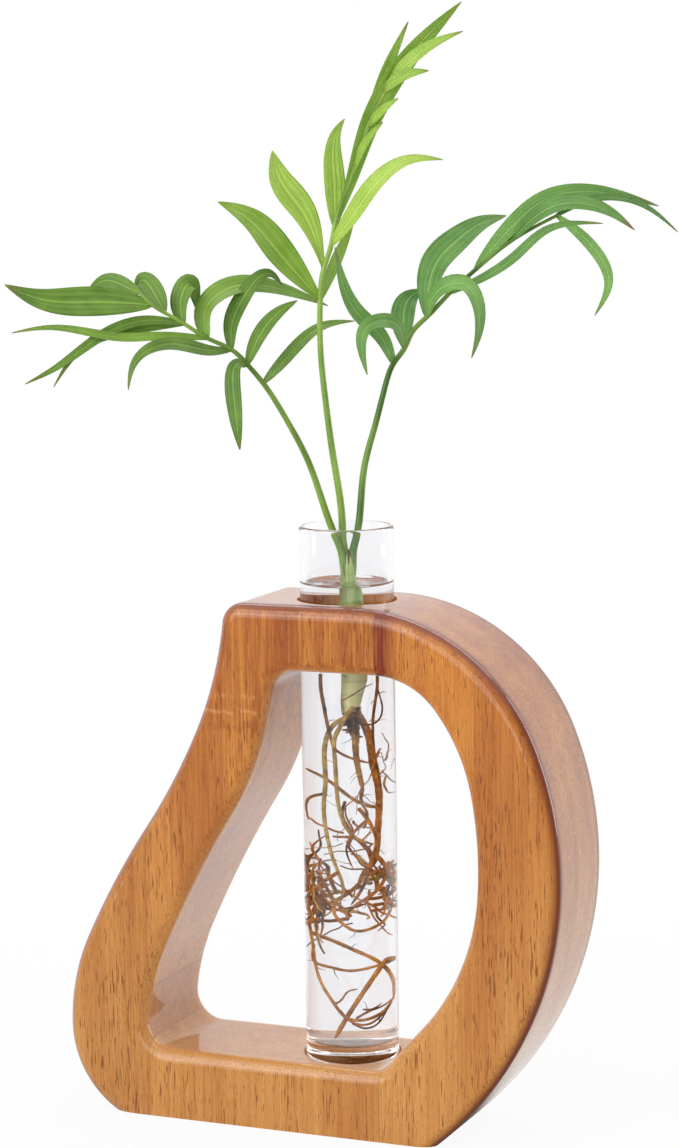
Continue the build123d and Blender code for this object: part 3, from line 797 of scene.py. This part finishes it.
def blade(skin, base, places, seen_width, roll, widest, dry):
    """one leaflet: a thin pleated blade folded along its midrib"""
    line = smooth_line([base] + places, BLADE_ROWS)
    ways = directions(line)
    width = seen_width / math.cos(math.radians(roll))
    power = math.log(0.5) / math.log(widest)
    fold = rng.uniform(*FOLD)
    curl = rng.uniform(*CURL)
    tone = rng.random()
    top, bottom, along, across = [], [], [], []
    for row, (spot, way) in enumerate(zip(line, ways)):
        t = row / BLADE_ROWS
        turn = Matrix.Rotation(math.radians(roll) + curl * t, 3, way)
        flat = turn @ way.cross(VIEWER).normalized()
        normal = way.cross(flat)
        least = BLADE_FOOT_WIDTH + (BLADE_TIP_WIDTH - BLADE_FOOT_WIDTH) * t
        swell = math.sin(math.pi * t**power) ** BLADE_FULLNESS if 0 < t < 1 else 0.0
        half = (least + (width - least) * swell) / 2
        for column in range(-BLADE_HALF_COLUMNS, BLADE_HALF_COLUMNS + 1):
            u = column / BLADE_HALF_COLUMNS
            lift = (fold * abs(u) + PLEAT_DEPTH * math.cos(u * PLEAT_WAVES)) * half
            thick = BLADE_THICKNESS / 2 * (1 - THINNER_EDGE * abs(u) ** 3) * (1 if t < BLADE_END else 0.5)
            middle = spot + flat * (half * u) - normal * lift
            top.append(middle + normal * thick)
            bottom.append(middle - normal * thick)
            along.append(t)
            across.append(u)
    wide = 2 * BLADE_HALF_COLUMNS + 1
    shift = len(top)
    faces = []
    for row in range(BLADE_ROWS):
        for k in range(wide - 1):
            a, b = row * wide + k, row * wide + k + 1
            c, d = b + wide, a + wide
            faces.append((a, d, c, b))
            faces.append((shift + a, shift + b, shift + c, shift + d))
        for k, flip in ((0, True), (wide - 1, False)):
            a, d = row * wide + k, (row + 1) * wide + k
            quad = (a, d, shift + d, shift + a)
            faces.append(quad[::-1] if flip else quad)
    for row, flip in ((0, False), (BLADE_ROWS, True)):
        for k in range(wide - 1):
            a, b = row * wide + k, row * wide + k + 1
            quad = (a, b, shift + b, shift + a)
            faces.append(quad[::-1] if flip else quad)
    skin.add(top + bottom, faces, slot=1, along=along * 2, across=across * 2, tone=tone, dry=dry)


def frond(side, foot, stalk_places, leaflets, stalk_colours, leaf_colours):
    """a petiole with its leaflets, in one piece; its foot runs down the side of the stem"""
    points = [stem_point(*place) for place in foot]
    points += [frond_point(*place) for place in stalk_places]
    radii = []
    for k in range(STALK_ROWS + 1):
        t = k / STALK_ROWS
        swell = (FOOT_RADIUS - PETIOLE_RADIUS) * max(0.0, 1 - t / FOOT_SHARE)
        radii.append(PETIOLE_RADIUS + (RACHIS_TIP_RADIUS - PETIOLE_RADIUS) * t + swell)
    skin = Skin()
    tube(skin, smooth_line(points, STALK_ROWS), radii, STALK_SIDES)
    for number, width, roll, widest, dry, places in leaflets:
        far = [frond_point(*place) for place in places]
        blade(skin, points[number + len(foot) - 1], far, width * MM, roll, widest, dry)
    skins = [stalk_skin(side + "_stalk", *stalk_colours), leaf(side + "_leaf", *leaf_colours)]
    skin.piece(side + "_frond_leaf", skins, "cutting", side + "_frond")


# Colours of each stalk, deep, light and pale, and of its leaflets, deep and light
frond(
    "left", LEFT_FOOT, LEFT_STALK, LEFT_LEAFLETS,
    [(84, 120, 36), (140, 176, 70), (166, 192, 120)], [(62, 104, 30), (150, 188, 74)],
)
frond(
    "middle", MIDDLE_FOOT, MIDDLE_STALK, MIDDLE_LEAFLETS,
    [(104, 146, 50), (154, 188, 82), (170, 194, 124)], [(112, 162, 40), (188, 218, 96)],
)
frond(
    "right", RIGHT_FOOT, RIGHT_STALK, RIGHT_LEAFLETS,
    [(72, 110, 36), (118, 154, 62), (156, 184, 112)], [(58, 112, 44), (140, 188, 96)],
)

# Stem: its middle across from the tube's axis and its radius, each after the height, all in millimetres
STEM_LINE = [
    (100, 0.6), (112.4, 0.4), (114, 0.45), (120, 1.2), (130, 1.1),
    (143, 0.9), (147, 0.43), (150, 0.42), (154, 0.2),
]
STEM_RADII = [
    (112.4, 1.9), (114, 2), (120, 2.6), (130, 2.5), (143, 2.3),
    (147, 2), (150, 2), (152.5, 1.5), (153.5, 0.7),
]
STEM_LOW_Z = CROWN_Z - 1.0 * MM
STEM_TOP_Z = 153.5 * MM
STEM_ROWS = 70
STEM_SIDES = 44
SCAR_RING_HEIGHT = 0.09 * MM
SCAR_RING_PITCH = 8.0 * MM

# The sheath tore from this side of the stem; its scars are full above and below these shares of it
SCAR_SIDE = math.radians(-135)
SCAR_TOP = 0.7
SCAR_FOOT = 0.25
SCAR_FAINT = 0.35

# Torn sheath left on the stem: radius, then points as across, away and height, all in millimetres
SHEATH_ROWS = 16
SHEATH_TEARS = [
    (0.3, [(0.55, -1.75, 150.6), (0.5, -1.55, 152), (0.55, -1.2, 153.4), (0.65, -0.9, 154.6)]),
    (0.16, [(-0.85, -1.85, 151), (-0.75, -1.85, 149), (-0.6, -1.75, 147)]),
]


def stem_piece():
    """the stem with its leaf-scar rings, and the torn sheath on it"""
    skin = Skin()
    points, scar = [], []
    for row in range(STEM_ROWS + 1):
        t = row / STEM_ROWS
        z = STEM_LOW_Z + (STEM_TOP_Z - STEM_LOW_Z) * t
        centre = turned(from_table(STEM_LINE, z / MM), 0, z)
        radius = from_table(STEM_RADII, z / MM)
        ring = SCAR_RING_HEIGHT * max(0.0, math.sin(2 * math.pi * (z - CROWN_Z) / SCAR_RING_PITCH)) ** 8
        full = t > SCAR_TOP or t < SCAR_FOOT
        for k in range(STEM_SIDES):
            angle = 2 * math.pi * k / STEM_SIDES
            ridge = 1 + 0.03 * math.sin(3 * angle + 4 * t) + 0.015 * math.sin(9 * angle + 9 * t)
            r = radius * ridge + ring
            points.append(centre + Vector((r * math.cos(angle), r * math.sin(angle), 0)))
            scar.append(max(0.0, math.cos(angle - SCAR_SIDE)) * (1.0 if full else SCAR_FAINT))
    faces = wall(STEM_ROWS + 1, STEM_SIDES)
    faces.append(tuple(reversed(range(STEM_SIDES))))
    faces.append(tuple(STEM_ROWS * STEM_SIDES + k for k in range(STEM_SIDES)))
    skin.add(points, faces, scar=scar)
    for thick, places in SHEATH_TEARS:
        line = smooth_line([stem_point(*place) for place in places], SHEATH_ROWS)
        half = SHEATH_ROWS / 2
        radii = [thick * MM * (1 - 0.5 * abs(k / half - 1)) for k in range(SHEATH_ROWS + 1)]
        tube(skin, line, radii, 8, scar=2.0)
    skin.piece("stem_skin", [stem_skin()], "cutting", "stem")


stem_piece()

# The space that the roots fill, and how near they come to the bore's wall and floor
ROOT_SPACE = BORE_RADIUS - 1.4 * MM
ROOT_START_Z = CROWN_Z - 4.5 * MM
ROOT_DROP = ROOT_START_Z - FLOOR_Z - 0.65 * MM
REACH = BORE_RADIUS - 0.35 * MM
KNOT_REACH = REACH - 0.5 * MM
LOWEST_Z = FLOOR_Z + 0.5 * MM

# Main roots: first and last radius in millimetres, tone, olive share, number of hairs, and points across,
# away and down, in hundredths of the space that the roots fill
ROOTS = [
    (0.55, 0.42, 0.75, 0.9, 2, [(10, -20, -6), (-6, -30, -3.5), (-20, -34, 0), (-31, -36, 3), (-33, -38, 9),
        (-31, -42, 15.5), (-27, -42, 23.5), (-12, -40, 31), (13, -30, 35.3), (50, -15, 37.7)]),
    (0.56, 0.36, 0.85, 1.0, 3, [(2, 10, -3), (-30, 12, 0), (-45, 15, 4.4), (-49, 20, 10.5), (-47, 20, 17.8),
        (-52, 15, 25.1), (-47, 5, 35.6), (-37, -5, 42.2), (-25, -15, 47.1), (-17, -27, 51.8),
        (-23, -40, 54.2), (-46, -50, 55)]),
    (0.85, 0.6, 0.62, 0, 4, [(20, 10, -3), (34, 12, 1), (42, 15, 5.7), (47, 20, 13), (56, 20, 19.3),
        (59, 15, 25.9), (57, 5, 35), (51, 0, 42.1), (29, 10, 47), (13, 20, 51.9)]),
    (0.8, 0.55, 0.55, 0.4, 6, [(12, -5, 0), (13, -15, 3), (15.5, -10, 10.5), (22, -10, 16), (28, -10, 20)]),
    (0.42, 0.3, 0.35, 0.5, 3, [(28, -10, 20), (25, -20, 23.6), (38, -30, 27.6), (30, -35, 32.4)]),
    (0.45, 0.34, 0.6, 0.5, 0, [(58, 15, 26.5), (31, 40, 26.2), (0, 50, 23.5), (-32, 45, 19),
        (-64, 30, 15.8), (-93, 10, 14.1)]),
    (0.4, 0.3, 0.4, 0.2, 0, [(-50, 17, 22), (-75, 30, 23.5), (-93, 10, 27), (-95, -15, 30)]),
    (0.48, 0.4, 0.7, 0.3, 5, [(15, 20, 51.2), (-20, 45, 56), (-60, 50, 60), (-85, 20, 64), (-89, -10, 68.1),
        (-85, -30, 76.2), (-69, -45, 82.8), (-43, -55, 88), (-12, -60, 92.5), (25, -60, 93.2),
        (62, -45, 92), (87, -10, 89), (93, 2, 86)]),
    (0.5, 0.45, 0.8, 0.3, 4, [(-87, 5, 66.5), (-32, 30, 69.7), (10, 35, 73), (48, 30, 76.2), (74, 25, 80.3),
        (88, 10, 84), (91, 0, 88.5)]),
    (0.58, 0.55, 0.7, 0.2, 0, [(93, 10, 75.5), (72, 12, 75.7), (62, 10, 77.2), (25, -10, 85),
        (-10, -25, 92.5), (-40, -33, 99.5)]),
    (0.48, 0.34, 0.75, 0.3, 2, [(-30, -40, 54.5), (-42, -60, 58), (-20, -70, 62), (12, -75, 64.1),
        (49, -65, 63.6), (80, -35, 61.6), (91, 0, 58.3)]),
    (0.5, 0.4, 0.6, 0, 3, [(-27, -13, 46.6), (-70, -30, 50), (-92, 0, 54), (-75, 40, 57.5), (-30, 60, 60),
        (30, 60, 58)]),
    (0.55, 0.42, 0.6, 0, 3, [(52, 0, 41.5), (80, -20, 46), (60, -60, 52), (10, -75, 56), (-10, -85, 58)]),
    (0.5, 0.4, 0.6, 0, 2, [(28, 10, 47.2), (52, 42, 49.2), (76, 38, 49.6), (92, 10, 47), (92, -15, 44)]),
    (0.4, 0.34, 0.45, 0, 3, [(-56, 10, -16), (-55, 12, -11), (-50, 10, -6), (-44, 0, 0), (-38, -20, 4.5),
        (-30, -45, 7), (5, -55, 9.5), (50, -40, 11.5)]),
    (0.36, 0.3, 0.35, 0, 6, [(60, 5, -16), (60, 3, -12), (56, -5, -7), (52, -10, -2), (52, -15, 4),
        (56, -20, 9), (62, -15, 14), (66, 0, 20)]),
    (0.26, 0.16, 0.05, 0, 2, [(30, -15, -0.5), (50, -20, -0.5), (64, -20, -1.5), (74, -15, -6),
        (68, -20, -10), (60, -10, -15)]),
    (0.16, 0.1, 0.05, 0, 0, [(-15, -45, -8.5), (5, -50, -10), (30, -40, -12), (56, -20, -13.5)]),
    (0.42, 0.36, 0.65, 0.3, 2, [(-85, -15, 70), (-88, -20, 75), (-48, -10, 77.1), (-6, 0, 78.5),
        (30, 5, 78), (70, 15, 76.8), (92, 10, 76)]),
    (0.3, 0.2, 0.5, 0.6, 0, [(-43, -55, 88), (-25, -40, 87), (-10, -35, 84.5), (12, -30, 83.8)]),
    (0.36, 0.24, 0.5, 0, 1, [(-30, -60, 90), (0, -68, 93.7), (35, -66, 94.5), (62, -50, 93),
        (84, -20, 90.5)]),
    (0.34, 0.2, 0.3, 0, 1, [(10, -60, 92.5), (40, -55, 90.5), (70, -35, 89.5), (90, 0, 88)]),
    (0.3, 0.2, 0.2, 0, 1, [(0, -70, 94), (30, -74, 95.5), (55, -62, 95), (78, -35, 91.5), (86, -20, 89)]),
    (0.26, 0.16, 0.2, 0, 0, [(25, -50, 90), (45, -48, 90), (68, -35, 88.5)]),
    (0.36, 0.3, 0.55, 0, 3, [(35, -20, 30), (10, -40, 33), (-5, -35, 37), (10, -20, 41), (30, -30, 44),
        (50, -40, 45)]),
    (0.34, 0.2, 0.2, 0, 5, [(-10, -10, 24), (-15, -30, 29), (0, -30, 33), (-8, -20, 38), (5, -25, 45)]),
    (0.5, 0.4, 0.5, 0, 2, [(20, -30, 26), (45, -50, 30), (62, -50, 36), (50, -50, 42), (30, -55, 50),
        (0, -60, 56)]),
]

# Knots of finer roots: how many, how thick, and the middle and spread of each, in the same hundredths
KNOTS = [
    (24, 1, (-72, 10, 53), (16, 35, 5.5)),
    (24, 1, (58, 0, 49), (20, 35, 6)),
    (14, 0.8, (0, -10, 58), (45, 40, 4)),
    (7, 0.5, (10, 0, 33), (30, 30, 5)),
    (7, 0.45, (68, 10, 12), (12, 20, 5)),
]
KNOT_SPREAD = 0.7
KNOT_ROWS = 36

# Root sizes, in millimetres where they are lengths or radii
SPAN_ROWS = 10
ROOT_SIDES = 12
FINE_SIDES = 8
HAIR_SIDES = 6
TIP_START = 0.93
KNOT_LENGTH = (8, 19)
KNOT_RADII = (0.26, 0.36, 0.48, 0.6)
KNOT_TONE = (0.25, 0.9)
KNOT_OLIVE = (0.0, 0.0, 0.7)
HAIR_SHARE = 0.4
HAIR_ROWS = 16
HAIR_LENGTH = (1.5, 5.0)
HAIR_RADIUS = (0.1, 0.17)
HAIR_TONE = (0.0, 0.35)
HAIR_PULL = 0.03
KNOT_HAIR_LENGTH = (1, 3.5)
KNOT_HAIR_RADIUS = 0.11

# Crown: its middle leans across as it goes down; radii in millimetres after the share of its length
CROWN_SPANS = 12
CROWN_ROWS = 40
CROWN_SIDES = 24
CROWN_ABOVE = 0.6 * MM
CROWN_LENGTH = 10.0 * MM
CROWN_RADII = [(0.0, 1.75), (0.1, 1.95), (0.3, 1.8), (0.5, 1.4), (0.75, 0.95), (1.0, 0.5)]
CROWN_TONE = 0.08
STUBS = 15
STUB_ROWS = 8
STUB_LENGTH = (0.8, 2.2)
STUB_RADIUS = (0.3, 0.6)
STUB_TONE = (0.1, 0.5)

# How each kind wanders: its number of steps, and how much it turns at random at each
KNOT_WANDER = (9, 0.2)
HAIR_WANDER = (7, 0.22)
STUB_WANDER = (4, 0.3)

# How much thinner each kind is at its tip
KNOT_TAPER = 0.55
HAIR_TAPER = 0.7
STUB_TAPER = 0.6


def root_point(across, away, drop):
    """a point of a root, from hundredths of the space that the roots fill"""
    return turned(across / 100 * ROOT_SPACE, away / 100 * ROOT_SPACE, ROOT_START_Z - drop / 100 * ROOT_DROP)


def kept_inside(spot, limit):
    """a point drawn in until it lies inside the tube's bore, above its floor"""
    flat = Vector((spot.x, spot.y, 0))
    if flat.length > limit:
        flat = flat.normalized() * limit
    return Vector((flat.x, flat.y, max(spot.z, LOWEST_Z)))


def random_way(spread=1):
    """a random direction, which isn't of unit length"""
    return Vector([rng.gauss(0, spread) for _ in range(3)])


def wander(start, way, length, steps, restless, limit=REACH, pull=0.0):
    """a wandering line from start, turning a little at random at each step"""
    line = [start]
    way = way.normalized()
    for _ in range(steps):
        way = (way + random_way(restless) + Vector((0, 0, -pull))).normalized()
        line.append(kept_inside(line[-1] + way * (length / steps), limit))
    return line


def hair(skin, start, way, length, thick):
    """a fine dark side root; its length and radius are in millimetres"""
    line = smooth_line(wander(start, way, length * MM, *HAIR_WANDER, pull=HAIR_PULL), HAIR_ROWS)
    radii = [thick * MM * (1 - HAIR_TAPER * k / HAIR_ROWS) for k in range(HAIR_ROWS + 1)]
    tube(skin, line, radii, HAIR_SIDES, tone=rng.uniform(*HAIR_TONE))


def main_root(skin, first, last, tone, olive, hairs, places):
    """a root through its points, with an uneven skin, a thinner tip and its hairs"""
    count = SPAN_ROWS * (len(places) - 1)
    line = smooth_line([root_point(*place) for place in places], count)
    line = [kept_inside(spot, REACH - first * MM) for spot in line]
    phase = rng.uniform(0, 6)
    radii = []
    for k in range(count + 1):
        t = k / count
        knob = 1 + 0.05 * math.sin(k * 0.8 + phase) + 0.03 * math.sin(k * 2.1 + phase)
        end = 1 - 0.6 * max(0.0, t - TIP_START) / (1 - TIP_START)
        radii.append((first + (last - first) * t) * knob * end * MM)
    tube(skin, line, radii, ROOT_SIDES, tone=tone, olive=olive)
    for _ in range(hairs):
        k = rng.randrange(3, count - 1)
        hair(skin, line[k], random_way(), rng.uniform(*HAIR_LENGTH), rng.uniform(*HAIR_RADIUS))


def knot_root(skin, stout, middle, spread):
    """one of the finer roots of a knot, which starts round the tube's axis and wanders"""
    place = [rng.gauss(m, w * KNOT_SPREAD) for m, w in zip(middle, spread)]
    start = kept_inside(root_point(*place), KNOT_REACH)
    way = Vector((-start.y, start.x, 0)).normalized() * rng.choice((-1, 1))
    way = way + Vector((0, 0, rng.gauss(-0.2, 0.9)))
    line = wander(start, way, rng.uniform(*KNOT_LENGTH) * MM, *KNOT_WANDER, KNOT_REACH)
    line = smooth_line(line, KNOT_ROWS)
    thick = rng.choice(KNOT_RADII) * stout * MM
    radii = [thick * (1 - KNOT_TAPER * (k / KNOT_ROWS) ** 2) for k in range(KNOT_ROWS + 1)]
    tube(skin, line, radii, FINE_SIDES, tone=rng.uniform(*KNOT_TONE), olive=rng.choice(KNOT_OLIVE))
    if rng.random() < HAIR_SHARE:
        k = rng.randrange(4, 30)
        hair(skin, line[k], random_way(), rng.uniform(*KNOT_HAIR_LENGTH), KNOT_HAIR_RADIUS)


def crown(skin):
    """the swollen foot of the stem, with the stubs of roots on it"""
    middle = []
    for k in range(CROWN_SPANS + 1):
        t = k / CROWN_SPANS
        middle.append(turned((0.6 + t * t) * MM, 0, CROWN_Z + CROWN_ABOVE - CROWN_LENGTH * t))
    line = smooth_line(middle, CROWN_ROWS)
    radii = []
    for row in range(CROWN_ROWS + 1):
        lump = 1 + 0.07 * math.sin(row * 1.1) + 0.05 * math.sin(row * 2.7)
        radii.append(from_table(CROWN_RADII, row / CROWN_ROWS) * lump)
    tube(skin, line, radii, CROWN_SIDES, tone=CROWN_TONE)
    for _ in range(STUBS):
        k = rng.randrange(4, CROWN_ROWS - 6)
        angle = rng.uniform(0, 2 * math.pi)
        out = Vector((math.cos(angle), math.sin(angle), rng.uniform(-0.6, 0.5)))
        start = line[k] + Vector((out.x, out.y, 0)).normalized() * radii[k] * 0.8
        line_out = wander(start, out, rng.uniform(*STUB_LENGTH) * MM, *STUB_WANDER)
        stub = smooth_line(line_out, STUB_ROWS)
        thick = rng.uniform(*STUB_RADIUS) * MM
        stub_radii = [thick * (1 - STUB_TAPER * j / STUB_ROWS) for j in range(STUB_ROWS + 1)]
        tube(skin, stub, stub_radii, FINE_SIDES, tone=rng.uniform(*STUB_TONE))


def root_piece():
    """the crown with all its roots, in one piece"""
    skin = Skin()
    for root in ROOTS:
        main_root(skin, *root)
    for number, stout, middle, spread in KNOTS:
        for _ in range(number):
            knot_root(skin, stout, middle, spread)
    crown(skin)
    skin.piece("root_mass", [root_skin()], "cutting", "roots")


root_piece()

# Floor, lamps and camera

FLOOR_SIZE = 6.0
ROOM_SIDE = (math.sin(math.radians(CAMERA_TURN)), -math.cos(math.radians(CAMERA_TURN)), 0)
ROOM_LEVEL = 0.12
THROUGH_LEVEL = 0.85
SKY_LIGHT = 0.55

# The floor's own white covers it from the second distance on, and this share of it up to the first
SHADOW_REACH = (0.05, 0.3)
WHITE_NEAR = 0.93


class Backdrop(Shader):
    """the world's nodes, built with the same short calls"""

    def __init__(self, name):
        world = bpy.data.worlds.new(name)
        world.use_nodes = True
        bpy.context.scene.world = world
        self.tree = world.node_tree
        self.surface = self.tree.nodes["Background"]


def room(s, way):
    """how bright the room is to a mirrored ray and to one through the glass, by its direction"""
    ahead = s.node("ShaderNodeVectorMath", {0: way, 1: ROOM_SIDE}, out="Value", operation="DOT_PRODUCT")
    mirrored = s.steps(ahead, -0.45, 0.15, 1.0, ROOM_LEVEL)
    through = s.steps(ahead, 0.0, 0.5, 1.0, THROUGH_LEVEL)
    return mirrored, through


def seen_level(s, rays, mirrored, through, plain):
    """the level of the ray's own kind: mirrored, through glass, from the camera, or plain light"""
    level = s.steps(rays["Is Glossy Ray"], 0.0, 1.0, plain, mirrored)
    level = s.steps(rays["Is Transmission Ray"], 0.0, 1.0, level, through)
    return s.math("MAXIMUM", rays["Is Camera Ray"], level)


def floor():
    """a white floor that shows as the white background, and keeps a faint shadow near the vase"""
    mesh = bpy.data.meshes.new("floor")
    corners = [(x * FLOOR_SIZE, y * FLOOR_SIZE, 0) for x, y in ((-1, -1), (1, -1), (1, 1), (-1, 1))]
    mesh.from_pydata(corners, [], [(0, 1, 2, 3)])
    s = Shader("floor_white")
    s.set(Base_Color=(0.9, 0.9, 0.9, 1), Roughness=0.9, Specular_IOR_Level=0.1)
    rays = s.rays()
    spot = s.coord("Object")
    mirrored, through = room(s, s.node("ShaderNodeVectorMath", {0: spot}, operation="NORMALIZE"))
    white = s.node("ShaderNodeEmission", {"Strength": seen_level(s, rays, mirrored, through, 0.0)})
    either = s.math("MAXIMUM", rays["Is Glossy Ray"], rays["Is Transmission Ray"])
    seen = s.math("MAXIMUM", rays["Is Camera Ray"], either)
    far = s.node("ShaderNodeVectorMath", {0: spot}, out="Value", operation="LENGTH")
    s.mix_surface(s.times(seen, s.steps(far, *SHADOW_REACH, WHITE_NEAR, 1.0)), white)
    mesh.materials.append(s.material)
    linked("floor", mesh)


def sky():
    """white behind the vase and overhead, dimmer on the viewer's side, and softer as light"""
    s = Backdrop("studio")
    way = s.coord("Generated")
    mirrored, through = room(s, way)
    mirrored = s.math("MAXIMUM", mirrored, s.steps(s.split(way)[2], 0.4, 0.8))
    s.set(Color=(1, 1, 1, 1), Strength=seen_level(s, s.rays(), mirrored, through, SKY_LIGHT))


def lamp(name, place, aim_z, width, height, power):
    """a soft rectangular lamp that faces the tube's axis at a height, in metres and watts"""
    data = bpy.data.lights.new(name, "AREA")
    data.shape = "RECTANGLE"
    data.size = width
    data.size_y = height
    data.energy = power
    light = linked(name, data)
    light.location = place
    light.rotation_euler = (Vector((0, 0, aim_z)) - Vector(place)).to_track_quat("-Z", "Y").to_euler()


def camera():
    """the camera at the photograph's place and angle"""
    data = bpy.data.cameras.new("camera")
    data.sensor_width = SENSOR
    data.lens = FOCAL_PIXELS * SENSOR / PHOTO_HEIGHT
    data.clip_start = 0.01
    data.clip_end = 50
    eye = linked("camera", data)
    place = Matrix.Translation(CAMERA_PLACE)
    for turn, axis in ((CAMERA_TURN, "Z"), (90 - CAMERA_PITCH, "X"), (CAMERA_ROLL, "Z")):
        place = place @ Matrix.Rotation(math.radians(turn), 4, axis)
    eye.matrix_world = place
    bpy.context.scene.camera = eye


floor()
sky()
lamp("key", (-0.6, -1.0, 0.9), 0.12, 1.1, 1.1, 6.5)
lamp("low_front", (-0.3, -1.3, 0.45), 0.1, 1.6, 0.9, 6.6)
lamp("side_strip", (0.9, 0.75, 0.25), 0.1, 0.16, 1.2, 3.6)
lamp("top_strip", (0.0, 0.55, 0.95), 0.12, 1.4, 0.1, 2.6)
camera()

scene = bpy.context.scene
scene.view_settings.view_transform = "Standard"
scene.cycles.max_bounces = 20
scene.cycles.glossy_bounces = 16
scene.cycles.transmission_bounces = 20
scene.cycles.transparent_max_bounces = 16
